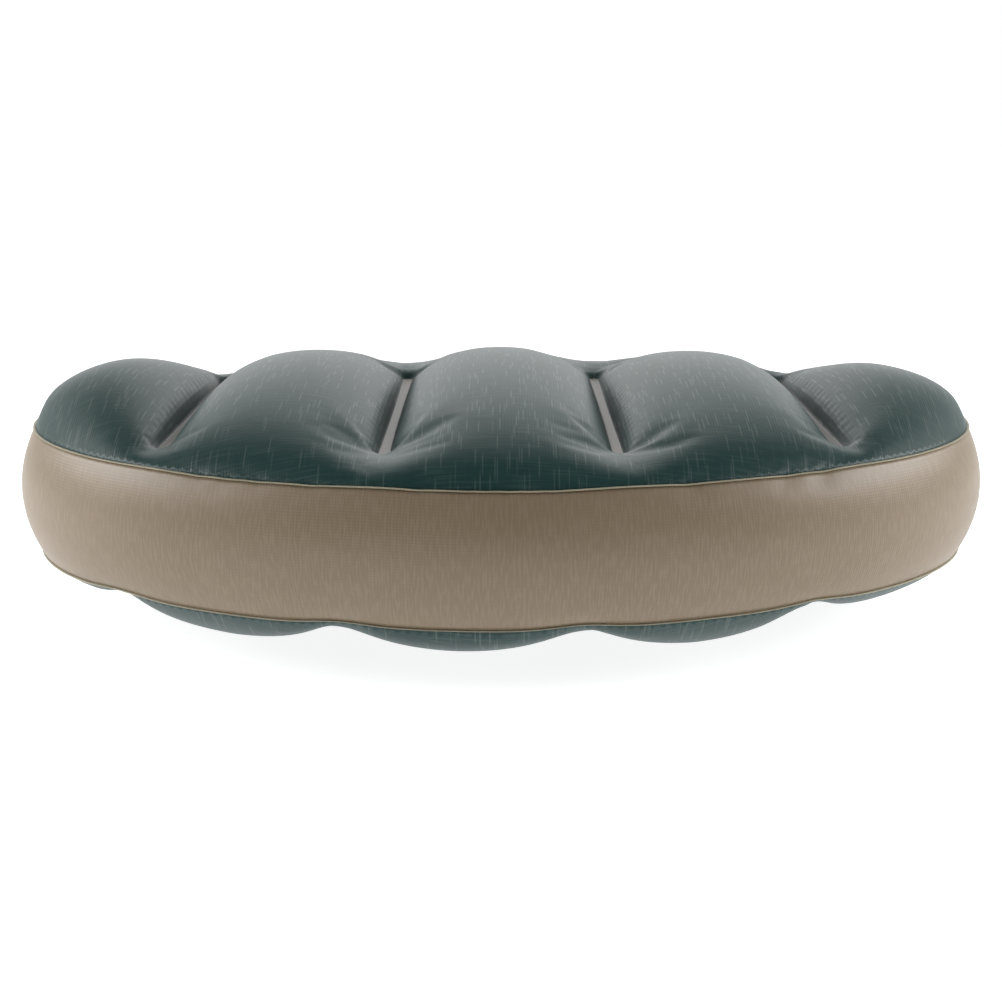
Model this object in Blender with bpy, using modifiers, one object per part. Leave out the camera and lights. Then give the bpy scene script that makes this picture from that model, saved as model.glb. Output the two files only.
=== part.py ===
"""Inflatable camping pillow: two lobed fabric panels welded to a side band.

Frame: +X along the width, +Z up, origin under the middle of the pillow, metres.
The push-in air valve sits in the middle of the band's rear wall, on +Y.
"""

import math

import bmesh
import bpy
from mathutils import Vector

# Pillow body
SEAM_HALF_WIDTH = 0.246        # half axes of the oval that both seams follow
SEAM_HALF_DEPTH = 0.162
SEAM_HEIGHT = 0.065            # from the bottom seam to the top seam
LOBE_RISE = 0.036              # from the lower seam to an unloaded lobe crest
TOP_LOBE_RISE = 0.028          # the lobes on top stand lower
REST_FLAT = 0.003              # how far the crests are pressed flat
BAND_BULGE = 0.009             # how far air pushes the band out past the seams
FILM = 0.0004                  # coated fabric thickness
SEAM_MARGIN = 0.0015           # width of the welded margin outside the seam
END_CHORD = 0.021              # the oval is cut straight over this length at each end
GAP = 0.0003                   # between pieces that touch

# Weld lines, from the middle outwards: (distance from the middle, weld end to seam).
# These ends leave welds 210 mm and 180 mm long.
WELDS = ((0.056, 0.052746662), (0.164, 0.030747671))
WELD_WIDTH = 0.005
BAFFLE_LEAN = 0.018            # how far a baffle's lower weld stands left of its upper one

# Valve, in its own frame: local z points out of the pillow, 0 at the stem's rim
STEM_RADIUS = 0.0075
STEM_LENGTH = 0.018
BORE_RADIUS = 0.0045
NECK_DEPTH = 0.0015            # from the rim to the shoulder under the tether ring
SHOULDER_HEIGHT = 0.001
SHOULDER_WIDTH = 0.0013
RING_WIDTH = 0.0015
EAR_LENGTH = 0.0022            # from the tether ring to the plug's hinge line
STRAP_WIDTH = 0.005
HEAD_OVERHANG = 0.0005         # how far the plug's head stands past the stem
HEAD_HEIGHT = 0.0017
PLATE_HEIGHT = 0.0008          # the arm and the finger tab
TAB_LENGTH = 0.0028
SHAFT_LENGTH = 0.006
SHAFT_CLEARANCE = 0.0002
FLAP_HEIGHT = 0.0006
HINGE_ROOM = 0.0025            # from the hinge line to the edge of the band's hole
FLANGE_INSET = 0.0007          # how far the flange shows inside the hole
FLANGE_WIDTH = 0.007
FLANGE_HEIGHT = 0.0008
FLANGE_GAP = 0.0005            # the band is faceted, so the flange needs a little more
SKIRT_THICKNESS = 0.0005
SKIRT_DEPTH = 0.0082

# Mesh fineness
LOBE_COLUMNS = 8
PANEL_ROWS = 16
BAND_ROWS = 8
TURN_STEPS = 32

# Derived places
MID_Z = SEAM_HEIGHT / 2 + LOBE_RISE - REST_FLAT + FILM
VALVE_FACE_Y = SEAM_HALF_DEPTH + BAND_BULGE + FILM
RIM_Y = VALVE_FACE_Y - GAP - HEAD_HEIGHT - GAP
HINGE_REACH = STEM_RADIUS + GAP + RING_WIDTH + EAR_LENGTH
HINGE_Z = GAP + PLATE_HEIGHT / 2
HEAD_RADIUS = STEM_RADIUS + HEAD_OVERHANG
FLAP_RADIUS = (BORE_RADIUS + STEM_RADIUS) / 2
HOLE_RADIUS = HINGE_REACH + HINGE_ROOM

COLOURS = {
    "green_fabric": ((0.045, 0.090, 0.085), 0.45),
    "taupe_fabric": ((0.30, 0.245, 0.19), 0.5),
    "baffle_film": ((0.42, 0.40, 0.36), 0.5),
    "clear_vinyl": ((0.55, 0.56, 0.53), 0.3),
}


def remove_everything():
    for found in list(bpy.data.objects):
        bpy.data.objects.remove(found)


def new_collection(name):
    collection = bpy.data.collections.new(name)
    bpy.context.scene.collection.children.link(collection)
    return collection


def material(name, slot):
    colour, roughness = COLOURS[slot]
    made = bpy.data.materials.new(name)
    made.use_nodes = True
    shader = made.node_tree.nodes["Principled BSDF"]
    shader.inputs["Base Color"].default_value = (*colour, 1)
    shader.inputs["Roughness"].default_value = roughness
    shader.inputs["Metallic"].default_value = 0
    return made


def add_object(name, data, slot, collection):
    made = bpy.data.objects.new(name, data)
    made.data.materials.append(material(name, slot))
    collection.objects.link(made)
    return made


def mesh_from(bm, name):
    mesh = bpy.data.meshes.new(name)
    bm.to_mesh(mesh)
    bm.free()
    mesh.shade_smooth()
    return mesh


def solidify(item, thickness, offset):
    shell = item.modifiers.new("thickness", "SOLIDIFY")
    shell.thickness = thickness
    shell.offset = offset


def boolean(item, operation, cutter):
    cut = item.modifiers.new(operation.lower(), "BOOLEAN")
    cut.operation = operation
    cut.solver = "EXACT"
    cut.object = cutter


# Pillow body


def half_depth(x):
    return SEAM_HALF_DEPTH * math.sqrt(1 - (x / SEAM_HALF_WIDTH) ** 2)


def outline_normal(x, y):
    return Vector((x / SEAM_HALF_WIDTH**2, y / SEAM_HALF_DEPTH**2, 0)).normalized()


def weld_half_length(offset, end_room):
    """A weld stops short of the seam, so the cloth can turn down past its end."""
    return SEAM_HALF_DEPTH * math.sqrt(1 - (offset / SEAM_HALF_WIDTH) ** 2) - end_room


def columns(shift):
    """x of the panel's mesh columns: each lobe is split evenly along its arc."""
    edge = WELD_WIDTH / 2
    end = SEAM_HALF_WIDTH * math.sqrt(1 - (END_CHORD / 2 / SEAM_HALF_DEPTH) ** 2)
    centres = [side * offset + shift for offset, _ in WELDS for side in (-1, 1)]
    breaks = sorted([-end, end] + [x + side * edge for x in centres for side in (-1, 1)])
    found = [breaks[0]]
    for low, high in zip(breaks[0::2], breaks[1::2]):
        centre, half = (low + high) / 2, (high - low) / 2
        if low > breaks[0]:
            found.append(low)
        for k in range(1, LOBE_COLUMNS + 1):
            found.append(centre - half * math.cos(math.pi * k / LOBE_COLUMNS))
    return found


def panel_height(x, y, full_rise, shift):
    """Height of the film over the seam plane: domed, and tied down at each weld."""
    reach = (WELDS[1][0] - WELDS[0][0] - WELD_WIDTH) / 2
    distance = reach
    for offset, end_room in WELDS:
        across = max(abs(abs(x - shift) - offset) - WELD_WIDTH / 2, 0)
        beyond = max(abs(y) - weld_half_length(offset, end_room), 0)
        distance = min(distance, math.hypot(across, beyond))
    lobe = math.sqrt(1 - (1 - distance / reach) ** 2)
    inside = 1 - (x / SEAM_HALF_WIDTH) ** 2 - (y / SEAM_HALF_DEPTH) ** 2
    crown = max(inside, 0) ** 0.25
    return min(full_rise * lobe * crown, LOBE_RISE - REST_FLAT)


def panel(name, side, collection):
    """A lobed panel with its flat welded margin; side is 1 on top and -1 below."""
    full_rise, shift = (TOP_LOBE_RISE, 0) if side > 0 else (LOBE_RISE, -BAFFLE_LEAN)
    xs = columns(shift)
    bm = bmesh.new()
    bmesh.ops.create_grid(bm, x_segments=len(xs) - 1, y_segments=PANEL_ROWS, size=1)
    for vert in bm.verts:
        column = round((vert.co.x + 1) / 2 * (len(xs) - 1))
        row = round((vert.co.y + 1) / 2 * PANEL_ROWS)
        x = xs[column]
        y = -half_depth(x) * math.cos(math.pi * row / PANEL_ROWS)
        rise = panel_height(x, y, full_rise, shift)
        if vert.is_boundary:
            rise = 0
        vert.co = (x, y, MID_Z + side * (SEAM_HEIGHT / 2 + rise))
    border = [e for e in bm.edges if e.is_boundary]
    margin = bmesh.ops.extrude_edge_only(bm, edges=border)["geom"]
    for vert in margin:
        if isinstance(vert, bmesh.types.BMVert):
            vert.co += SEAM_MARGIN * outline_normal(vert.co.x, vert.co.y)
    bmesh.ops.recalc_face_normals(bm, faces=bm.faces)
    centre = min(bm.faces, key=lambda f: f.calc_center_median().xy.length)
    if centre.normal.z * side < 0:
        bmesh.ops.reverse_faces(bm, faces=bm.faces)
    made = add_object(name, mesh_from(bm, name), "green_fabric", collection)
    solidify(made, FILM, 1)
    return made


def band_offset(z):
    """How far the band's inner face stands outside the seam line at height z."""
    share = (z - MID_Z) / (SEAM_HEIGHT / 2 - GAP)
    return BAND_BULGE * (1 - share**2)


def side_band(collection, cutters):
    """The band rolled out of a grid, with a welded margin along both edges."""
    xs = columns(0)
    front = [Vector((x, -half_depth(x), 0)) for x in xs]
    rear = [Vector((x, half_depth(x), 0)) for x in reversed(xs)]
    loop = front + rear
    half = SEAM_HEIGHT / 2 - GAP
    heights = [MID_Z + half * (2 * k / BAND_ROWS - 1) for k in range(BAND_ROWS + 1)]
    profile = [(band_offset(z), z) for z in heights]
    profile = [(SEAM_MARGIN, heights[0])] + profile + [(SEAM_MARGIN, heights[-1])]
    rows = len(profile) - 1
    bm = bmesh.new()
    bmesh.ops.create_grid(bm, x_segments=len(loop), y_segments=rows, size=1)
    for vert in bm.verts:
        corner = loop[round((vert.co.x + 1) / 2 * len(loop)) % len(loop)]
        offset, z = profile[round((vert.co.y + 1) / 2 * rows)]
        vert.co = corner + offset * outline_normal(corner.x, corner.y)
        vert.co.z = z
    bmesh.ops.remove_doubles(bm, verts=bm.verts, dist=0.00001)
    made = add_object("side_band", mesh_from(bm, "side_band"), "taupe_fabric", collection)
    solidify(made, FILM, 1)
    bpy.ops.mesh.primitive_cylinder_add(
        vertices=TURN_STEPS, radius=HOLE_RADIUS, depth=SEAM_HALF_DEPTH / 2,
        location=(0, SEAM_HALF_DEPTH, MID_Z), rotation=(math.pi / 2, 0, 0))
    boolean(made, "DIFFERENCE", move_to_cutters(bpy.context.object, cutters))
    return made


def move_to_cutters(cutter, cutters):
    for owner in list(cutter.users_collection):
        owner.objects.unlink(cutter)
    cutters.objects.link(cutter)
    cutter.name = "cutter"
    cutter.hide_render = True
    cutter.display_type = "WIRE"
    return cutter


def baffle(name, x, half_length, collection):
    """A web that ties the panels together, with a weld tab along each edge."""
    edge = WELD_WIDTH / 2
    top = SEAM_HEIGHT / 2 - GAP
    profile = [(edge, top), (-edge, top), (-edge - BAFFLE_LEAN, -top), (edge - BAFFLE_LEAN, -top)]
    bm = bmesh.new()
    bmesh.ops.create_grid(bm, x_segments=len(profile) - 1, y_segments=1, size=1)
    for vert in bm.verts:
        across, height = profile[round((vert.co.x + 1) / 2 * (len(profile) - 1))]
        vert.co = (x + across, vert.co.y * half_length, MID_Z + height)
    made = add_object(name, mesh_from(bm, name), "baffle_film", collection)
    solidify(made, FILM, 1)
    return made


# Valve


def valve_frame(name):
    """An empty at the rim of the stem whose local z points out of the pillow."""
    frame = bpy.data.objects.new(name, None)
    frame.location = (0, RIM_Y, MID_Z)
    frame.rotation_euler = (-math.pi / 2, 0, 0)
    return frame


def turned(name, profile, closed, slot, collection, frame):
    """A profile of (radius, local z) points turned around the valve's axis."""
    bm = bmesh.new()
    verts = [bm.verts.new((radius, 0, z)) for radius, z in profile]
    for first, second in zip(verts, verts[1:]):
        bm.edges.new((first, second))
    if closed:
        bm.edges.new((verts[-1], verts[0]))
    made = add_object(name, mesh_from(bm, name), slot, collection)
    made.parent = frame
    screw = made.modifiers.new("turn", "SCREW")
    screw.steps = TURN_STEPS
    screw.render_steps = TURN_STEPS
    screw.use_merge_vertices = True
    screw.merge_threshold = 0.00001
    return made


def arc(radius, start, end, steps):
    """Points on a circle around the valve's axis, angles from local +y."""
    angles = [start + (end - start) * k / steps for k in range(steps + 1)]
    return [(radius * math.sin(a), radius * math.cos(a)) for a in angles]


def flat_piece(name, outlines, low, high, slot, collection, frame, origin_y=0):
    """Flat outlines, the first one outside and the rest holes, given a thickness."""
    curve = bpy.data.curves.new(name, "CURVE")
    curve.dimensions = "2D"
    curve.fill_mode = "BOTH"
    curve.extrude = (high - low) / 2
    for points in outlines:
        spline = curve.splines.new("POLY")
        spline.points.add(len(points) - 1)
        for point, (x, y) in zip(spline.points, points):
            point.co = (x, y - origin_y, 0, 1)
        spline.use_cyclic_u = True
    made = add_object(name, curve, slot, collection)
    made.parent = frame
    made.location = (0, origin_y, (low + high) / 2)
    return made


def as_mesh(item):
    """The same piece as a mesh with its caps welded, so that a Boolean can use it."""
    bpy.context.view_layer.update()
    graph = bpy.context.evaluated_depsgraph_get()
    mesh = bpy.data.meshes.new_from_object(item.evaluated_get(graph))
    bm = bmesh.new()
    bm.from_mesh(mesh)
    bmesh.ops.remove_doubles(bm, verts=bm.verts, dist=0.00001)
    bm.to_mesh(mesh)
    bm.free()
    name, owner = item.name, item.users_collection[0]
    made = bpy.data.objects.new(name, mesh)
    made.matrix_world = item.matrix_world
    bpy.data.objects.remove(item)
    made.name = name
    owner.objects.link(made)
    return made


def valve_base(collection):
    """The flange welded inside the band, following its curve around the hole."""
    inner = HOLE_RADIUS - FLANGE_INSET
    bm = bmesh.new()
    bmesh.ops.create_grid(bm, x_segments=TURN_STEPS, y_segments=3, size=1)
    for vert in bm.verts:
        angle = math.pi * (vert.co.x + 1)
        radius = inner + FLANGE_WIDTH * (vert.co.y + 1) / 2
        x, z = radius * math.cos(angle), MID_Z + radius * math.sin(angle)
        y = half_depth(x) + band_offset(z) - FLANGE_GAP
        vert.co = (x, y, z)
    bmesh.ops.remove_doubles(bm, verts=bm.verts, dist=0.00001)
    bmesh.ops.recalc_face_normals(bm, faces=bm.faces)
    bm.faces.ensure_lookup_table()
    if bm.faces[0].normal.y > 0:
        bmesh.ops.reverse_faces(bm, faces=bm.faces)
    made = add_object("valve_base", mesh_from(bm, "valve_base"), "clear_vinyl", collection)
    solidify(made, FLANGE_HEIGHT, 1)
    return made


def valve_skirt(collection, frame):
    """The thin rolling membrane between the flange and the stem, at rest a cup."""
    outer = HOLE_RADIUS - FLANGE_INSET - GAP - SKIRT_THICKNESS / 2
    inner = STEM_RADIUS + GAP
    start, bend, end = (outer, GAP), (outer, -SKIRT_DEPTH), (inner, -SKIRT_DEPTH)
    profile = []
    for k in range(9):
        t = k / 8
        weights = ((1 - t) ** 2, 2 * t * (1 - t), t**2)
        profile.append(tuple(
            sum(w * p[axis] for w, p in zip(weights, (start, bend, end))) for axis in (0, 1)))
    made = turned("valve_skirt", profile, False, "clear_vinyl", collection, frame)
    solidify(made, SKIRT_THICKNESS, 0)
    return made


def valve_stem(collection, frame):
    shoulder = -NECK_DEPTH - SHOULDER_HEIGHT
    lead_in = SHAFT_CLEARANCE * 2
    profile = [
        (STEM_RADIUS, 0), (STEM_RADIUS, -NECK_DEPTH),
        (STEM_RADIUS + SHOULDER_WIDTH, -NECK_DEPTH), (STEM_RADIUS + SHOULDER_WIDTH, shoulder),
        (STEM_RADIUS, shoulder), (STEM_RADIUS, -STEM_LENGTH),
        (BORE_RADIUS, -STEM_LENGTH), (BORE_RADIUS, -lead_in), (BORE_RADIUS + lead_in, 0)]
    return turned("valve_stem", profile, True, "clear_vinyl", collection, frame)


def strap_sides(ring_radius, reach):
    """An outline around the axis with a strap that runs out along local +y."""
    half_angle = math.asin(STRAP_WIDTH / 2 / ring_radius)
    return arc(ring_radius, half_angle, 2 * math.pi - half_angle, 28) + [
        (-STRAP_WIDTH / 2, reach), (STRAP_WIDTH / 2, reach)]


def valve_tether(collection, frame):
    """The ring around the stem's neck, with the ear that the plug hinges on."""
    inner = STEM_RADIUS + GAP
    outline = strap_sides(inner + RING_WIDTH, HINGE_REACH - GAP)
    hole = arc(inner, 0, 2 * math.pi * (1 - 1 / TURN_STEPS), TURN_STEPS - 1)
    low = -NECK_DEPTH + GAP
    return flat_piece(
        "valve_tether", [outline, hole], low, 0, "clear_vinyl", collection, frame)


def shaft_radius(depth):
    """The widest the shaft can be at this depth and still swing out of the bore."""
    reach = HINGE_REACH + BORE_RADIUS - SHAFT_CLEARANCE
    return math.sqrt(reach**2 - (depth + HINGE_Z) ** 2) - HINGE_REACH


def valve_plug(collection, cutters, frame):
    """A tapered stopper with a head, an arm to the hinge line and a finger tab."""
    arm = strap_sides(HEAD_RADIUS, HINGE_REACH)
    tab_half = math.asin(STRAP_WIDTH / 2 / HEAD_RADIUS)
    body = [p for p in arm if p[1] > -HEAD_RADIUS * math.cos(tab_half)]
    right = [p for p in body[:-2] if p[0] > 0]
    left = [p for p in body[:-2] if p[0] <= 0]
    tab_end = -HEAD_RADIUS - TAB_LENGTH
    tab = [(STRAP_WIDTH / 2, tab_end), (-STRAP_WIDTH / 2, tab_end)]
    outline = right + tab + left + body[-2:]
    plug = as_mesh(flat_piece(
        "valve_plug", [outline], GAP, GAP + PLATE_HEIGHT, "clear_vinyl", collection,
        frame, HINGE_REACH))
    steps = [SHAFT_LENGTH * k / 4 for k in range(5)]
    profile = [(0, GAP + HEAD_HEIGHT), (HEAD_RADIUS - GAP, GAP + HEAD_HEIGHT)]
    profile += [(HEAD_RADIUS - GAP, 2 * GAP), (shaft_radius(0), 2 * GAP)]
    profile += [(shaft_radius(depth), -depth) for depth in steps]
    profile += [(0, -SHAFT_LENGTH)]
    core = turned("plug_core", profile, False, "clear_vinyl", collection, frame)
    boolean(plug, "UNION", move_to_cutters(core, cutters))
    return plug


def valve_flap(collection, frame):
    """The check flap that air pressure holds shut on the stem's inner end."""
    hinge = -STEM_RADIUS + GAP
    half_angle = math.asin(STRAP_WIDTH / 2 / FLAP_RADIUS)
    outline = arc(FLAP_RADIUS, -math.pi + half_angle, math.pi - half_angle, 28)
    outline += [(STRAP_WIDTH / 2, hinge), (-STRAP_WIDTH / 2, hinge)]
    high = -STEM_LENGTH - GAP
    return flat_piece(
        "valve_flap", [outline], high - FLAP_HEIGHT, high, "clear_vinyl", collection,
        frame, hinge)


def main():
    remove_everything()
    pillow = new_collection("camp_pillow")
    cutters = new_collection("cutters")
    panel("top_panel", 1, pillow)
    panel("bottom_panel", -1, pillow)
    side_band(pillow, cutters)
    ordered = [(-x, room) for x, room in reversed(WELDS)] + list(WELDS)
    for number, (x, end_room) in enumerate(ordered, 1):
        baffle(f"baffle_{number}", x, weld_half_length(x, end_room), pillow)
    frame = valve_frame("valve_frame")
    pillow.objects.link(frame)
    valve_base(pillow)
    valve_skirt(pillow, frame)
    valve_stem(pillow, frame)
    valve_tether(pillow, frame)
    valve_plug(pillow, cutters, frame)
    valve_flap(pillow, frame)
    bpy.context.view_layer.update()


main()
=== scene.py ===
# %% [markdown]
# # A camp pillow, blown up from flat cloth
# An air pillow is two oval panels and a long band, cut flat, welded at their
# edges and filled with air. Four inner walls are welded across it, and they
# hold the panels down in grooves, so five round lobes stand between them.
# This lesson makes it in the same order: the cut pieces, the air, the seams,
# the pressed weld marks, and last the small valve at the back.
#
# It starts by loading the measured model. Everything is placed from its sizes.

# %% Load the measured model
import bpy
import numpy as np
from math import pi
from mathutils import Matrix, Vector, geometry


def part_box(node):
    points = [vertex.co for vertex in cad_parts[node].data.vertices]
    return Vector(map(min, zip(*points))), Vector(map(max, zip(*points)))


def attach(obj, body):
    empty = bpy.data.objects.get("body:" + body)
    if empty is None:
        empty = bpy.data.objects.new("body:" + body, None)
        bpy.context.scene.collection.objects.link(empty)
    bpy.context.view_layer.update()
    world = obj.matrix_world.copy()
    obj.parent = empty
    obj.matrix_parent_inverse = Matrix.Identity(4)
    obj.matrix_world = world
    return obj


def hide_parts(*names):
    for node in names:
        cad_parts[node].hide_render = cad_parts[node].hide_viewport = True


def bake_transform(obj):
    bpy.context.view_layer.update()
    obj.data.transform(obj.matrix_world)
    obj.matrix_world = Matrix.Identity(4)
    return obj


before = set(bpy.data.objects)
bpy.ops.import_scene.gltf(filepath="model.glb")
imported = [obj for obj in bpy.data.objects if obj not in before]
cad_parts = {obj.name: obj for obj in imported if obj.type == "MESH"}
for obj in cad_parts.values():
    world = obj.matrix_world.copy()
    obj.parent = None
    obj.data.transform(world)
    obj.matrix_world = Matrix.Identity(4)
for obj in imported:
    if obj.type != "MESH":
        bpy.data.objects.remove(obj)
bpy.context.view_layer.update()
bpy.ops.object.select_all(action="DESELECT")

# %% Take the main sizes from the model
seam_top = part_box("top_panel")[0].z
seam_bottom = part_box("bottom_panel")[1].z
mid_z = (seam_top + seam_bottom) / 2
MARGIN = 0.0015                       # the welded margin outside the seam
half_width = 0.246                    # the ends of the measured oval are cut a little short
half_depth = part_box("top_panel")[1].y - MARGIN
print("seams at", round(seam_bottom, 4), "and", round(seam_top, 4), "half depth", round(half_depth, 4))

WELD_WIDTH = 0.005
top_welds, bottom_welds = [], []      # (x, half length) of each inner wall's welds
for number in (1, 2, 3, 4):
    low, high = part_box(f"baffle_{number}")
    half = (high.y - low.y) / 2
    top_welds.append((high.x - WELD_WIDTH / 2, half))
    bottom_welds.append((low.x + WELD_WIDTH / 2, half))
print("upper welds:", [(round(x, 3), round(half, 3)) for x, half in top_welds])
print("lower welds:", [(round(x, 3), round(half, 3)) for x, half in bottom_welds])

# %% [markdown]
# ## Camera
# A product camera stands in front and a little above, and looks down about
# fifteen degrees, so that the lobes, the band and the lower seam all show.
# A lens near 56 mm is close to how the eye sees a thing on a table: a wider
# lens would stretch the front lobe.

# %% Place the camera
bpy.ops.object.camera_add(
    location=(0, -0.83, mid_z + 0.2), rotation=(pi / 2 - 0.2535, 0, 0)
)
camera = bpy.context.object
camera.data.sensor_width = 36
camera.data.lens = 56.4
bpy.context.scene.camera = camera
print("camera at", [round(v, 3) for v in camera.location])

# %% [markdown]
# ## Helpers for node trees
# Materials and the light of the room are trees of nodes. Colours are written
# as hex, as a paint program shows them. Blender mixes light in linear values,
# so one function turns the hex code to linear. Another adds one node: settings
# by name, and inputs that are either a number or a link from another node.
# In a colour Mix node, input 0 is the share, and 6 and 7 are the two colours.

# %% Colour and node helpers
def linear(code):
    parts = [int(code[i : i + 2], 16) / 255 for i in (0, 2, 4)]
    return tuple(p / 12.92 if p <= 0.04045 else ((p + 0.055) / 1.055) ** 2.4 for p in parts) + (1,)

def add(tree, kind, inputs, **settings):
    node = tree.nodes.new("ShaderNode" + kind)
    for name, value in settings.items():
        setattr(node, name, value)
    for name, value in inputs.items():
        if isinstance(value, bpy.types.NodeSocket):
            tree.links.new(value, node.inputs[name])
        else:
            node.inputs[name].default_value = value
    return node

def start_material(name):
    made = bpy.data.materials.new(name)
    made.use_nodes = True
    made.node_tree.nodes.clear()
    return made, made.node_tree

def finish_material(tree, shader):
    add(tree, "OutputMaterial", {"Surface": shader.outputs["BSDF"]})

# %% [markdown]
# ## Floor and light
# The pillow stands on white paper in a studio that is bright behind it and
# dim above, at the sides and in front, where the camera stands. That is what
# makes the satin cloth look round: its crests mirror the bright end of the
# room, and the lobes turn deep green towards the eye. The paper glows a
# little, so light comes from below too, and four soft boxes, two at each
# side, brighten the ends of the band.
# The room is a world colour worked out from each direction: dim, but bright
# towards +Y. What the camera sees past the floor stays plain white.

# %% Lay the paper
def lay_paper():
    bpy.ops.mesh.primitive_circle_add(vertices=96, radius=9, fill_type="NGON", location=(0, 0, 0))
    paper = bpy.context.object
    paper.name = "studio_paper"
    bpy.ops.object.mode_set(mode="EDIT")
    bpy.ops.mesh.inset(thickness=6)
    bpy.ops.object.mode_set(mode="OBJECT")
    white, tree = start_material("white_paper")
    shader = add(tree, "BsdfPrincipled", {"Base Color": (0.55, 0.55, 0.55, 1), "Roughness": 0.9,
        "Emission Color": (1, 1, 1, 1), "Emission Strength": 0.88})
    finish_material(tree, shader)
    paper.data.materials.append(white)
    return paper

print("paper:", lay_paper().dimensions.x, "m wide")

# %% Light the room
def light_room(bright, dim):
    world = bpy.data.worlds.new("studio_room")
    bpy.context.scene.world = world
    world.use_nodes = True
    tree = world.node_tree
    tree.nodes.clear()
    place = add(tree, "TexCoord", {})
    split = add(tree, "SeparateXYZ", {0: place.outputs["Generated"]})
    strength = add(tree, "MapRange", {"Value": split.outputs["Y"], "From Min": 0.6, "From Max": 0.97,
        "To Min": dim, "To Max": bright}, interpolation_type="SMOOTHSTEP")
    light = add(tree, "Background", {"Color": (1, 1, 1, 1), "Strength": strength.outputs["Result"]})
    backdrop = add(tree, "Background", {"Color": (1, 1, 1, 1)})
    path = add(tree, "LightPath", {})
    either = add(tree, "MixShader", {0: path.outputs["Is Camera Ray"], 1: light.outputs[0],
        2: backdrop.outputs[0]})
    add(tree, "OutputWorld", {"Surface": either.outputs[0]})
    bpy.context.scene.view_settings.view_transform = "Standard"

light_room(1.85, 0.03)

# %% Hang the soft boxes
def hang_box(name, place, size, power, aim=(0, 0, 0.06)):
    turn = (Vector(aim) - Vector(place)).to_track_quat("-Z", "Y").to_euler()
    bpy.ops.object.light_add(type="AREA", location=place, rotation=turn)
    box = bpy.context.object
    box.name = name
    box.data.shape = "RECTANGLE"
    box.data.size, box.data.size_y = size
    box.data.energy = power
    return box

for word, y, z, size in (("box", -0.3, 0.8, (0.8, 0.8)), ("end_box", 0.1, 0.6, (0.8, 0.6))):
    for side, x in (("left", -1.2), ("right", 1.2)):
        hang_box(f"{side}_{word}", (x, y, z), size, 8)

# %% [markdown]
# ## Green cloth
# The panels are woven polyester with a film of polyurethane behind it, which
# holds the air. The threads are fine and slightly waxy: from above they give
# a grey bloom, and from the front the cloth is a deep green. Slubs, thin
# straight dashes about 16 mm long, run from front to back. They are glossier,
# and their lighter grey colour is painted sheen.
# The pattern follows the cut cloth, so it reads the flat pattern in metres
# that each panel carries as its UV map. Real threads are 0.3 mm apart, too
# fine to show here, so they are drawn 1.4 mm apart.

# %% Patterns shared by both cloths
THREAD = 0.0014                       # thread spacing, drawn nearly five times too coarse
WAVE = 2 * pi / 20                    # scale of a wave texture whose waves are 1 long

def weave(tree, flat):
    """Bumps of warp and weft, as a normal for the shader."""
    warp, weft = [
        add(tree, "TexWave", {"Vector": flat, "Scale": WAVE / THREAD, "Distortion": 0.6,
            "Detail": 1, "Detail Scale": 0.6}, bands_direction=direction).outputs["Fac"]
        for direction in ("X", "Y")
    ]
    height = add(tree, "Math", {0: warp, 1: weft}, operation="ADD").outputs[0]
    bump = add(tree, "Bump", {"Height": height, "Strength": 0.2, "Distance": 0.00015})
    return bump.outputs["Normal"]

def streaks(tree, flat, across, along, start, end):
    """Soft streaks of uneven threads, of the given size in metres, across by along."""
    stretch = add(tree, "Mapping", {"Vector": flat, "Scale": (1 / across, 1 / along, 1)})
    cloud = add(tree, "TexNoise", {"Vector": stretch.outputs["Vector"], "Scale": 1, "Detail": 1,
        "Roughness": 0.4}, noise_dimensions="2D")
    return add(tree, "MapRange", {"Value": cloud.outputs["Fac"], "From Min": start,
        "From Max": end}, interpolation_type="SMOOTHSTEP").outputs["Result"]

def bell(tree, value, low, high):
    """0 at each whole number, rising between low and high to a flat top half way."""
    fold = add(tree, "Math", {0: value, 1: 0.5}, operation="PINGPONG").outputs[0]
    return add(tree, "MapRange", {"Value": fold, "From Min": low, "From Max": high}).outputs[0]

def dashes(tree, flat, pitch, length, share):
    """Slubs: thin columns cut into cells by chance, with a dash in a share of the cells."""
    place = add(tree, "SeparateXYZ", {0: flat})
    across = add(tree, "Math", {0: place.outputs["X"], 1: 1 / pitch},
        operation="MULTIPLY").outputs[0]
    column = add(tree, "Math", {0: across}, operation="FLOOR").outputs[0]
    start = add(tree, "TexWhiteNoise", {"W": column}, noise_dimensions="1D").outputs["Value"]
    along = add(tree, "Math", {0: place.outputs["Y"], 1: 1 / length, 2: start},
        operation="MULTIPLY_ADD").outputs[0]
    row = add(tree, "Math", {0: along}, operation="FLOOR").outputs[0]
    cell = add(tree, "CombineXYZ", {"X": column, "Y": row}).outputs[0]
    dice = add(tree, "TexWhiteNoise", {"Vector": cell}, noise_dimensions="2D").outputs["Value"]
    chosen = add(tree, "MapRange", {"Value": dice, "From Min": 1 - share,
        "From Max": 1 - 0.4 * share}).outputs[0]
    dash = add(tree, "Math", {0: bell(tree, across, 0.1, 0.4), 1: bell(tree, along, 0.1, 0.3)},
        operation="MULTIPLY").outputs[0]
    return add(tree, "Math", {0: dash, 1: chosen}, operation="MULTIPLY").outputs[0]

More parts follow.
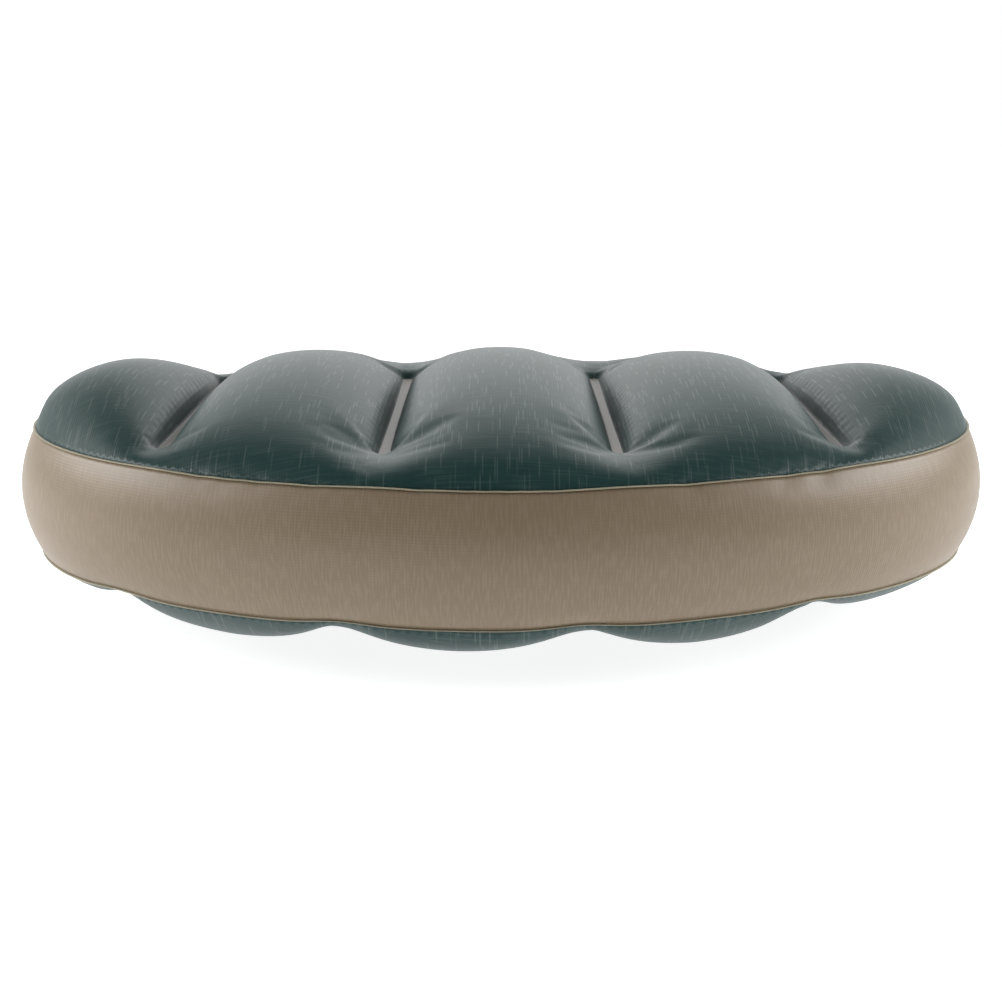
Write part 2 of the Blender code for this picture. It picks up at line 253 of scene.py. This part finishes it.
# %% Green cloth material
def green_cloth():
    made, tree = start_material("green_coated_polyester")
    flat = add(tree, "UVMap", {}, uv_map="cut").outputs["UV"]
    slubs_and_sheen = dashes(tree, flat, pitch=0.0011, length=0.020, share=0.30)
    rows = streaks(tree, flat, 0.02, 0.0011, 0.5, 0.75)
    clouds = add(tree, "TexNoise", {"Vector": flat, "Scale": 14, "Detail": 3}).outputs["Fac"]
    ground = add(tree, "Mix", {0: clouds, 6: linear("1C3735"), 7: linear("24413F")},
        data_type="RGBA").outputs[2]
    share = add(tree, "Math", {0: rows, 1: 0.16}, operation="MULTIPLY").outputs[0]
    lined = add(tree, "Mix", {0: share, 6: ground, 7: linear("5C716C")}, data_type="RGBA").outputs[2]
    # The slubs' light grey is painted sheen; their higher gloss below is real.
    share = add(tree, "Math", {0: slubs_and_sheen, 1: 0.08}, operation="MULTIPLY").outputs[0]
    colour = add(tree, "Mix", {0: share, 6: lined, 7: linear("A9B4AE")}, data_type="RGBA").outputs[2]
    gloss = add(tree, "MapRange", {"Value": slubs_and_sheen, "To Min": 0.3, "To Max": 0.52})
    shader = add(tree, "BsdfPrincipled", {"Base Color": colour, "Roughness": 0.43,
        "Normal": weave(tree, flat), "IOR": 1.5, "Specular IOR Level": gloss.outputs["Result"],
        "Sheen Weight": 0.03, "Sheen Roughness": 0.4, "Sheen Tint": linear("C9D2CC")})
    finish_material(tree, shader)
    return made

# %% [markdown]
# ## Taupe cloth
# The band is the same coated polyester in a warm grey-brown. Its threads are
# not all the same shade: lighter ones stand across the band and darker ones
# run along it, so it looks cross-hatched from near by.

# %% Taupe cloth material
def taupe_cloth():
    made, tree = start_material("taupe_coated_polyester")
    flat = add(tree, "UVMap", {}, uv_map="cut").outputs["UV"]
    upright = streaks(tree, flat, 0.0011, 0.008, 0.4, 0.7)
    level = streaks(tree, flat, 0.012, 0.0010, 0.4, 0.7)
    clouds = add(tree, "TexNoise", {"Vector": flat, "Scale": 16, "Detail": 3}).outputs["Fac"]
    ground = add(tree, "Mix", {0: clouds, 6: linear("81715B"), 7: linear("8B7A65")},
        data_type="RGBA").outputs[2]
    share = add(tree, "Math", {0: upright, 1: 0.08}, operation="MULTIPLY").outputs[0]
    lighter = add(tree, "Mix", {0: share, 6: ground, 7: linear("C6BBAA")}, data_type="RGBA").outputs[2]
    share = add(tree, "Math", {0: level, 1: 0.14}, operation="MULTIPLY").outputs[0]
    colour = add(tree, "Mix", {0: share, 6: lighter, 7: linear("7F6F5C")}, data_type="RGBA").outputs[2]
    shader = add(tree, "BsdfPrincipled", {"Base Color": colour, "Roughness": 0.42,
        "Normal": weave(tree, flat), "IOR": 1.5, "Sheen Weight": 0.06, "Sheen Roughness": 0.4})
    finish_material(tree, shader)
    return made

# %% [markdown]
# ## Film, weld and vinyl
# Where two layers are welded, heat presses the weave flat and the film shows
# through as a pale, smoother skin. At the seam the knife leaves a thin light
# edge. The inner walls are clear film, and the valve is moulded soft vinyl:
# milky, with a low gloss and the very fine grain of its mould.

# %% Plain plastics with a fine grain
def plastic(name, light, dark, roughness, grain, depth, **extra):
    made, tree = start_material(name)
    place = add(tree, "TexCoord", {}).outputs["Object"]
    clouds = add(tree, "TexNoise", {"Vector": place, "Scale": 60, "Detail": 3}).outputs["Fac"]
    colour = add(tree, "Mix", {0: clouds, 6: linear(dark), 7: linear(light)}, data_type="RGBA")
    speckle = add(tree, "TexNoise", {"Vector": place, "Scale": 1 / grain, "Detail": 2})
    relief = add(tree, "Bump", {"Height": speckle.outputs["Fac"], "Strength": 0.3, "Distance": depth})
    shader = add(tree, "BsdfPrincipled", {"Base Color": colour.outputs[2], "Roughness": roughness,
        "Normal": relief.outputs["Normal"], "IOR": 1.5})
    for socket, value in extra.items():
        shader.inputs[socket.replace("_", " ")].default_value = value
    finish_material(tree, shader)
    return made

green = green_cloth()
taupe = taupe_cloth()
cut_edge = plastic("cut_film_edge", "AFA892", "8D8670", 0.5, 0.0015, 0.0001)
pressed = plastic("pressed_weld", "A8A397", "938E82", 0.42, 0.0012, 0.00015,
    Specular_IOR_Level=0.32)
clear_film = plastic("clear_wall_film", "D9DCD8", "C3C8C4", 0.3, 0.004, 0.0001)
vinyl = plastic("milky_vinyl", "C9CCC6", "B4B8B2", 0.32, 0.0008, 0.0001, Subsurface_Weight=0.15)
print("materials:", [m.name for m in (green, taupe, cut_edge, pressed, clear_film, vinyl)])

# %% [markdown]
# ## The cut cloth
# Air makes a shape that nobody would draw by hand, so the cloth is blown up
# by Blender's Cloth, as on the real pillow. The mesh has to suit it. Cloth
# wants triangles or quads of one size, with no long thin ones, and lines of
# points exactly where it is welded. So the points are chosen first: a ring
# for the seam, two lines for each weld, and an even lattice between. A
# Delaunay triangulation then joins them. Each point's flat place is kept as
# the UV map, because that is where the weaver's threads run.

# %% Points of the seam ring
STEP = 0.005                          # spacing of the cloth's points

def oval_ring():
    angle = np.linspace(0, 2 * pi, 20001)
    line = np.stack([half_width * np.cos(angle), half_depth * np.sin(angle)], 1)
    run = np.r_[0, np.cumsum(np.linalg.norm(np.diff(line, axis=0), axis=1))]
    count = int(round(run[-1] / STEP))
    even = np.interp(np.arange(count) * run[-1] / count, run, angle)
    return np.stack([half_width * np.cos(even), half_depth * np.sin(even)], 1), run[-1]

ring, seam_length = oval_ring()
outward = ring / np.array([half_width**2, half_depth**2])   # at a right angle to the seam
outward /= np.linalg.norm(outward, axis=1)[:, None]
print("seam length:", round(seam_length, 3), "m in", len(ring), "points")

# %% Points of the welds and of the lattice
def weld_distance(points, welds, fade=1.0):
    """Distance to the nearest weld; fade makes it grow more slowly past a weld's end."""
    found = np.full(len(points), 1.0)
    for x, half in welds:
        across = np.maximum(abs(points[:, 0] - x) - WELD_WIDTH / 2, 0)
        beyond = np.maximum(abs(points[:, 1]) - half, 0)
        found = np.minimum(found, np.hypot(across, fade * beyond))
    return found

def seam_distance(points):
    share = 1 - (points[:, 0] / half_width) ** 2 - (points[:, 1] / half_depth) ** 2
    slope = 2 * np.hypot(points[:, 0] / half_width**2, points[:, 1] / half_depth**2) + 1e-9
    return share / slope

WELD_EDGE = 0.0017                    # from a weld's edge to a second line of points beside it

def weld_points(welds, offset):
    found = []
    for x, half in welds:
        y = np.linspace(-half, half, int(round(2 * half / STEP)) + 1)
        for side in (-1, 1):
            found.append(np.stack([np.full(len(y), x + side * (WELD_WIDTH / 2 + offset)), y], 1))
    return np.vstack(found)

def lattice_points(welds):
    rows = np.arange(-half_depth, half_depth, STEP * 0.866)
    across = np.arange(-half_width, half_width, STEP)
    found = np.array([(x + (k % 2) * STEP / 2, y) for k, y in enumerate(rows) for x in across])
    off_welds = weld_distance(found, welds) > WELD_EDGE + 0.55 * STEP
    return found[(seam_distance(found) > 2.3 * STEP) & off_welds]

def panel_points(welds):
    inner_rings = [ring - 0.87 * STEP * k * outward for k in (1, 2)]
    weld_lines = [weld_points(welds, offset) for offset in (0, WELD_EDGE)]
    return np.vstack([ring, *weld_lines, *inner_rings, lattice_points(welds)])

strip_count = len(weld_points(top_welds, 0))
top_flat, bottom_flat = panel_points(top_welds), panel_points(bottom_welds)
print("points in the panels:", len(top_flat), len(bottom_flat))

# %% Join the points into triangles
def triangulate(points, edge_count):
    made = geometry.delaunay_2d_cdt([Vector(p) for p in points], [], [list(range(edge_count))], 1, 1e-7)
    source = [first[0] for first in made[3]]
    return [[source[i] for i in face] for face in made[2]]

top_faces = triangulate(top_flat, len(ring))
bottom_triangles = triangulate(bottom_flat, len(ring))
print("triangles in the panels:", len(top_faces), len(bottom_triangles))

# %% [markdown]
# ## Blowing it up
# Cloth works best from a shape that is already close, so each panel starts
# with its lobes: a circle between two welds, lower towards the seam. The
# band starts as a barrel. The cloth is then allowed to be a little larger
# than that shape, most of all past the ends of the welds, where the real
# one has cloth to spare. The air pressure pulls it smooth wherever it can,
# and what is left over stays as short folds. The welds are pinned, and so
# is a patch round the valve.

# %% Shape of the pillow before the air
BULGE = 0.009                         # how far the band stands out at half its height

def lobe_height(points, welds, rises, crown):
    """Height of each point over the seam; rises has one height for each lobe."""
    x, y = points[:, 0], points[:, 1]
    reach = (welds[2][0] - welds[1][0] - WELD_WIDTH) / 2
    to_weld = np.maximum(weld_distance(points, welds, 0.13), 1e-6)
    to_end = 0.8 * half_width * np.sqrt(np.clip(1 - (y / half_depth) ** 2, 0, 1)) - 0.8 * abs(x)
    distance = (to_weld**-4.0 + np.maximum(to_end, 1e-6) ** -4.0) ** -0.25
    across = np.sqrt(1 - (1 - np.minimum(distance, reach) / reach) ** 2)
    edge = half_depth * np.sqrt(np.clip(1 - (x / half_width) ** 2, 1e-6, 1))
    along = np.clip(1 - (y / edge) ** 2, 0, 1) ** crown
    lobe = np.searchsorted([weld[0] for weld in welds], x)
    return np.array(rises)[lobe] * across * along

def seam_wander(points, welds, tug, tilt):
    """A hand-welded seam is never quite level: it climbs to the right, and each weld tugs it."""
    climb = np.clip(points[:, 0] / 0.15, 0, 1)
    height = tilt * climb**2 * (3 - 2 * climb)
    for x, half in welds:
        height = height + tug * np.exp(-(((points[:, 0] - x) / 0.018) ** 2))
    return height * np.clip(1 - seam_distance(points) / 0.035, 0, 1)

def band_rings(count, low, high):
    rings = []
    for k in range(1, count):
        out = BULGE * 4 * k / count * (1 - k / count)
        rings.append(np.column_stack([ring + out * outward, low + (high - low) * k / count]))
    return np.vstack(rings)

BAND_ROWS = 13
TOP_RISES = (0.032, 0.0275, 0.0265, 0.027, 0.030)
BOTTOM_RISES = (0.022, 0.034, 0.035, 0.034, 0.022)
top = np.column_stack([top_flat, seam_top + lobe_height(top_flat, top_welds, TOP_RISES, 0.7)])
bottom_depth = lobe_height(bottom_flat, bottom_welds, BOTTOM_RISES, 0.5)
bottom = np.column_stack([bottom_flat, seam_bottom - bottom_depth])
top[:, 2] += seam_wander(top_flat, top_welds, 0.0004, 0.0020)
bottom[:, 2] += seam_wander(bottom_flat, bottom_welds, 0.0016, 0.0030)
band = band_rings(BAND_ROWS, bottom[: len(ring), 2], top[: len(ring), 2])
start_shape = np.vstack([top, bottom, band])
print("cloth points:", len(start_shape))

# %% Faces of the closed skin
def band_index(row, i):
    """Point number i of a row of the band: row 0 is the lower seam, the last row is the upper seam."""
    i %= len(ring)
    if row == 0:
        return len(top_flat) + i
    if row == BAND_ROWS:
        return i
    return len(top_flat) + len(bottom_flat) + (row - 1) * len(ring) + i

bottom_faces = [[len(top_flat) + i for i in reversed(face)] for face in bottom_triangles]
band_faces = [
    [band_index(row, i), band_index(row, i + 1), band_index(row + 1, i + 1), band_index(row + 1, i)]
    for row in range(BAND_ROWS) for i in range(len(ring))
]

def mesh_object(name, points, faces):
    mesh = bpy.data.meshes.new(name)
    mesh.from_pydata([tuple(p) for p in points], [], faces)
    mesh.update()
    made = bpy.data.objects.new(name, mesh)
    bpy.context.scene.collection.objects.link(made)
    return made

skin = mesh_object("skin", start_shape, top_faces + bottom_faces + band_faces)
print("skin faces:", len(skin.data.polygons))

# %% Where the cloth is pinned, and where it has cloth to spare
VALVE_PATCH = 0.022                   # radius of the cloth that is pinned round the valve
SPARE_REACH = 0.022                   # how far the spare cloth past a weld's end reaches

def pin_skin(made):
    pins = made.vertex_groups.new(name="pinned")
    for start in (len(ring), len(top_flat) + len(ring)):
        pins.add(list(range(start, start + strip_count)), 1.0, "REPLACE")
    valve = np.array([0, half_depth + BULGE, mid_z])
    near = np.where(np.linalg.norm(start_shape - valve, axis=1) < VALVE_PATCH)[0]
    pins.add([int(i) for i in near], 1.0, "REPLACE")

def ease_skin(made):
    ease = made.vertex_groups.new(name="ease")
    for start, points, welds in ((0, top_flat, top_welds), (len(top_flat), bottom_flat, bottom_welds)):
        end = np.full(len(points), 1.0)
        for x, half in welds:
            for side in (-1, 1):
                past_end = 0.7 * (points[:, 1] - side * (half + 0.012))
                end = np.minimum(end, np.hypot(points[:, 0] - x, past_end))
        share = 0.35 + 0.65 * np.exp(-(end / SPARE_REACH) ** 2)
        share *= np.clip(seam_distance(points) / 0.02, 0, 1)
        for i, value in enumerate(share):
            ease.add([start + i], float(value), "REPLACE")

pin_skin(skin)
ease_skin(skin)

# %% Let the air in
def blow_up(made, frames):
    cloth = made.modifiers.new("cloth", "CLOTH")
    cloth.settings.quality = 6
    cloth.settings.mass = 0.005
    cloth.settings.tension_stiffness = cloth.settings.compression_stiffness = 15
    cloth.settings.shear_stiffness = 8
    cloth.settings.bending_stiffness = 0.5
    cloth.settings.use_pressure = True
    cloth.settings.uniform_pressure_force = 20
    cloth.settings.air_damping = 1
    cloth.settings.effector_weights.gravity = 0
    cloth.settings.vertex_group_mass = "pinned"
    cloth.settings.vertex_group_shrink = "ease"
    cloth.settings.shrink_min, cloth.settings.shrink_max = 0, -0.025
    cloth.collision_settings.use_collision = False
    cloth.point_cache.frame_end = frames
    for number in range(1, frames + 1):
        bpy.context.scene.frame_set(number)
    bpy.context.view_layer.objects.active = made
    bpy.ops.object.modifier_apply(modifier="cloth")
    bpy.context.scene.frame_set(1)

blow_up(skin, 25)
air_shape = np.empty(3 * len(start_shape))
skin.data.vertices.foreach_get("co", air_shape)
air_shape = air_shape.reshape(-1, 3)
moved = np.linalg.norm(air_shape - start_shape, axis=1)
print("the air moved the cloth by at most", round(1000 * moved.max(), 1), "mm")
print("lowest and highest:", air_shape[:, 2].min().round(4), air_shape[:, 2].max().round(4))

# %% [markdown]
# ## Resting on the table
# The lower lobes flatten where they carry the weight. A soft limit does it:
# a point well above the table keeps its height, and one near it comes to
# rest a fraction of a millimetre above, with no sharp edge to the flat.

# %% Rest the lobes on the table
def rest_on_table(points, softness):
    height = points[:, 2] - 0.0005
    points[:, 2] = 0.5 * (height + np.sqrt(height**2 + softness**2)) + 0.0004
    return points

air_shape = rest_on_table(air_shape, 0.0015)
print("lowest point now", round(float(air_shape[:, 2].min()), 5))

# %% [markdown]
# ## Panels and band
# The blown skin is parted at the two seams, because the real one is three
# pieces of cloth in two colours. Each gets its flat pattern as UV map, one
# subdivision to smooth the facets, and then the thickness of the cloth,
# added outwards, because the inner face is the one that was measured.

# %% Part the skin into three pieces
FILM = 0.0004                         # thickness of the coated cloth

both_flat = np.vstack([top_flat, bottom_flat])

def panel_pattern(face):
    return [tuple(both_flat[i]) for i in face]

def band_pattern(number):
    row, i = divmod(number, len(ring))
    step = seam_length / len(ring)
    tall = (seam_top - seam_bottom) * 1.05 / BAND_ROWS
    return [(i * step, row * tall), ((i + 1) * step, row * tall),
        ((i + 1) * step, (row + 1) * tall), (i * step, (row + 1) * tall)]

def part(name, faces, patterns):
    used = sorted({i for face in faces for i in face})
    place = {old: new for new, old in enumerate(used)}
    made = mesh_object(name, air_shape[used], [[place[i] for i in face] for face in faces])
    layer = made.data.uv_layers.new(name="cut")
    layer.data.foreach_set("uv", np.array([p for pattern in patterns for p in pattern], np.float32).ravel())
    return made

top_skin = part("top_panel_cloth", top_faces, [panel_pattern(f) for f in top_faces])
bottom_skin = part("bottom_panel_cloth", bottom_faces, [panel_pattern(f) for f in bottom_faces])
band_skin = part("side_band_cloth", band_faces, [band_pattern(k) for k in range(len(band_faces))])
bpy.data.objects.remove(skin)

# %% Smooth them
def apply_all(made):
    bpy.ops.object.select_all(action="DESELECT")
    made.select_set(True)
    bpy.context.view_layer.objects.active = made
    for modifier in list(made.modifiers):
        bpy.ops.object.modifier_apply(modifier=modifier.name)

def smooth(made, levels):
    subdivide = made.modifiers.new("smooth", "SUBSURF")
    subdivide.levels = subdivide.render_levels = levels
    apply_all(made)

for made in (top_skin, bottom_skin, band_skin):
    smooth(made, 1)
    print(made.name, len(made.data.polygons), "faces after smoothing")

# %% [markdown]
# ## The hole for the valve
# The valve is welded in from inside, so the band has a round hole for it at
# the middle of the back. The faces over the hole are taken out, and the
# points left round it are moved onto a true circle, 28 mm wide.

# %% Choose faces in code
def edit_faces(made, wanted):
    """Opens a piece in edit mode with only the wanted faces selected."""
    bpy.ops.object.select_all(action="DESELECT")
    made.select_set(True)
    bpy.context.view_layer.objects.active = made
    bpy.context.tool_settings.mesh_select_mode = (False, False, True)
    bpy.ops.object.mode_set(mode="EDIT")
    bpy.ops.mesh.select_all(action="DESELECT")
    bpy.ops.object.mode_set(mode="OBJECT")
    for face in made.data.polygons:
        face.select = bool(wanted(face))
    bpy.ops.object.mode_set(mode="EDIT")

# %% Cut the hole
HOLE = 0.014                          # radius

def off_axis(co):
    return np.hypot(co.x, co.z - mid_z) if co.y > 0 else 1.0

def cut_hole(made):
    edit_faces(made, lambda face: off_axis(face.center) < HOLE)
    bpy.ops.mesh.delete(type="FACE")
    bpy.ops.object.mode_set(mode="OBJECT")
    used = {}
    for face in made.data.polygons:
        for key in face.edge_keys:
            used[key] = used.get(key, 0) + 1
    rim = {v for key, n in used.items() if n == 1 for v in key}
    rim = [made.data.vertices[v].co for v in rim if off_axis(made.data.vertices[v].co) < 1.4 * HOLE]
    for co in rim:
        stretch = HOLE / off_axis(co)
        co.x, co.z = co.x * stretch, mid_z + (co.z - mid_z) * stretch
    return len(rim)

print("points round the hole:", cut_hole(band_skin))

# %% Give the cloth its thickness
def thicken(made, thickness):
    wall = made.modifiers.new("thickness", "SOLIDIFY")
    wall.thickness = thickness
    wall.offset = 1
    apply_all(made)
    made.data.shade_smooth()

for made, finish, name, node in (
    (top_skin, green, "green_fabric", "top_panel"),
    (bottom_skin, green, "green_fabric", "bottom_panel"),
    (band_skin, taupe, "taupe_fabric", "side_band"),
):
    thicken(made, FILM)
    made.data.materials.append(finish)
    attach(made, "pillow")
    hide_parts(node)
    print(made.name, len(made.data.polygons), "faces")

# %% [markdown]
# ## The welded seams
# At each seam the panel and the band are pressed together in a narrow lip
# that stands out 1.5 mm. Cloth and film are cut there with a hot knife,
# which leaves a pale edge. It is a thin strip swept round the blown seam:
# the ring of seam points, pushed out a little, with a small rounded profile.

# %% Sweep the lips
def sweep_lip(name, loop, tilt):
    following = np.roll(loop, -1, 0) - np.roll(loop, 1, 0)
    outward = np.stack([following[:, 1], -following[:, 0], np.zeros(len(loop))], 1)
    outward /= np.linalg.norm(outward, axis=1)[:, None]
    up = np.array([0, 0, 1.0])
    profile = [(-0.0006, -0.00035), (0.0008, -0.0004), (0.0013, -0.00025), (0.0015, 0),
        (0.0013, 0.00025), (0.0008, 0.0004), (-0.0006, 0.00035)]
    points = np.vstack([loop + out * outward + (level + tilt * out) * up for out, level in profile])
    count, rows = len(loop), len(profile)
    faces = [[r * count + i, r * count + (i + 1) % count, ((r + 1) % rows) * count + (i + 1) % count,
        ((r + 1) % rows) * count + i] for r in range(rows) for i in range(count)]
    made = mesh_object(name, points, faces)
    made.data.materials.append(cut_edge)
    smooth(made, 1)
    made.data.shade_smooth()
    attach(made, "pillow")
    return made

top_loop = air_shape[: len(ring)]
bottom_loop = air_shape[len(top_flat) : len(top_flat) + len(ring)]
for made in (sweep_lip("top_seam_lip", top_loop, 0.1), sweep_lip("bottom_seam_lip", bottom_loop, -0.1)):
    print(made.name, len(made.data.polygons), "faces")

# %% [markdown]
# ## Weld marks
# The jaws of the welding press leave a strip 5 mm wide at the bottom of
# every groove: the weave is melted smooth, and a thin bead stands along each
# side. At the ends the jaws are wider and round, so that the weld doesn't
# tear. Each mark starts as a flat box that is cut near its ends, widened
# there, inset and pressed down in the middle.

# %% Press one weld mark
MARK_THICK = 0.0008
MARK_LIFT = 0.0007                    # from the cloth at the weld to the middle of the mark

def press_mark(name, x, half, level, side):
    bpy.ops.mesh.primitive_cube_add(size=1, location=(x, 0, level),
        scale=(WELD_WIDTH, 2 * half + 0.004, MARK_THICK))
    mark = bpy.context.object
    mark.name = name
    bpy.ops.object.transform_apply(location=True, rotation=True, scale=True)
    bpy.ops.object.mode_set(mode="EDIT")
    for y in (-half + 0.009, -half + 0.003, half - 0.009, half - 0.003):
        bpy.ops.mesh.select_all(action="SELECT")
        bpy.ops.mesh.bisect(plane_co=(0, y, 0), plane_no=(0, 1, 0))
    bpy.ops.object.mode_set(mode="OBJECT")
    for vert in mark.data.vertices:
        if abs(vert.co.y) > half - 0.0035:
            vert.co.x = x + (vert.co.x - x) * 1.5
    edit_faces(mark, lambda face: face.normal.z * side > 0.9)
    bpy.ops.mesh.inset(thickness=0.0007, depth=0)
    bpy.ops.mesh.inset(thickness=0.0003, depth=-0.0003)
    bpy.ops.object.mode_set(mode="OBJECT")
    mark.data.materials.append(pressed)
    smooth(mark, 2)
    mark.data.shade_smooth()
    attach(mark, "pillow")
    return mark

for word, welds, level, side in (("top", top_welds, seam_top + FILM, 1),
        ("bottom", bottom_welds, seam_bottom - FILM, -1)):
    for number, (x, half) in enumerate(welds, 1):
        mark = press_mark(f"{word}_weld_mark_{number}", x, half, level + side * MARK_LIFT, side)
print("weld marks:", len(top_welds) + len(bottom_welds), "of", len(mark.data.polygons), "faces")

# %% [markdown]
# ## Valve
# The stem, its strap, the stopper, the flap inside and the welded flange are
# already shaped as they should be, so they only get their vinyl. The thin
# skirt between flange and stem rolls out when the stem is pulled. It is made
# again as a film between the two: a ring, drawn inwards in small steps and
# then across to the stem.

# %% Skirt of the valve
SKIRT_OUTER, SKIRT_INNER = 0.01275, 0.0091      # radii at the flange and at the stem

def draw_skirt():
    low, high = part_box("valve_skirt")
    bpy.ops.mesh.primitive_circle_add(vertices=64, radius=SKIRT_OUTER, location=(0, high.y, mid_z),
        rotation=(pi / 2, 0, 0))
    skirt = bpy.context.object
    skirt.name = "valve_skirt_film"
    bpy.ops.object.transform_apply(location=True, rotation=True, scale=True)
    bpy.ops.object.mode_set(mode="EDIT")
    bpy.ops.mesh.select_all(action="SELECT")
    steps = 8
    depth = (high.y - low.y - 0.0003) / steps
    radius = SKIRT_OUTER
    for k in range(steps):
        bpy.ops.mesh.extrude_edges_move(TRANSFORM_OT_translate={"value": (0, -depth, 0)})
    for k in range(3):
        target = radius - (SKIRT_OUTER - SKIRT_INNER) / 3
        bpy.ops.mesh.extrude_edges_move(TRANSFORM_OT_translate={"value": (0, 0, 0)})
        bpy.ops.transform.resize(value=(target / radius, 1, target / radius),
            center_override=(0, high.y - steps * depth, mid_z))
        radius = target
    bpy.ops.mesh.select_all(action="SELECT")
    bpy.ops.mesh.normals_make_consistent(inside=False)
    bpy.ops.object.mode_set(mode="OBJECT")
    wall = skirt.modifiers.new("thickness", "SOLIDIFY")
    wall.thickness, wall.offset = 0.0005, 0
    apply_all(skirt)
    skirt.data.shade_smooth()
    skirt.data.materials.append(vinyl)
    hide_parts("valve_skirt")
    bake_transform(skirt)
    return skirt

skirt = draw_skirt()
print("skirt:", len(skirt.data.polygons), "faces")

# %% Finishes of the measured parts
for name in ("valve_base", "valve_stem", "valve_tether", "valve_plug", "valve_flap"):
    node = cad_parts[name]
    node.data.materials.clear()
    node.data.materials.append(vinyl)
for number in (1, 2, 3, 4):
    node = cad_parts[f"baffle_{number}"]
    node.data.materials.clear()
    node.data.materials.append(clear_film)
print("finished nodes keep their shape, and get", vinyl.name, "or", clear_film.name)
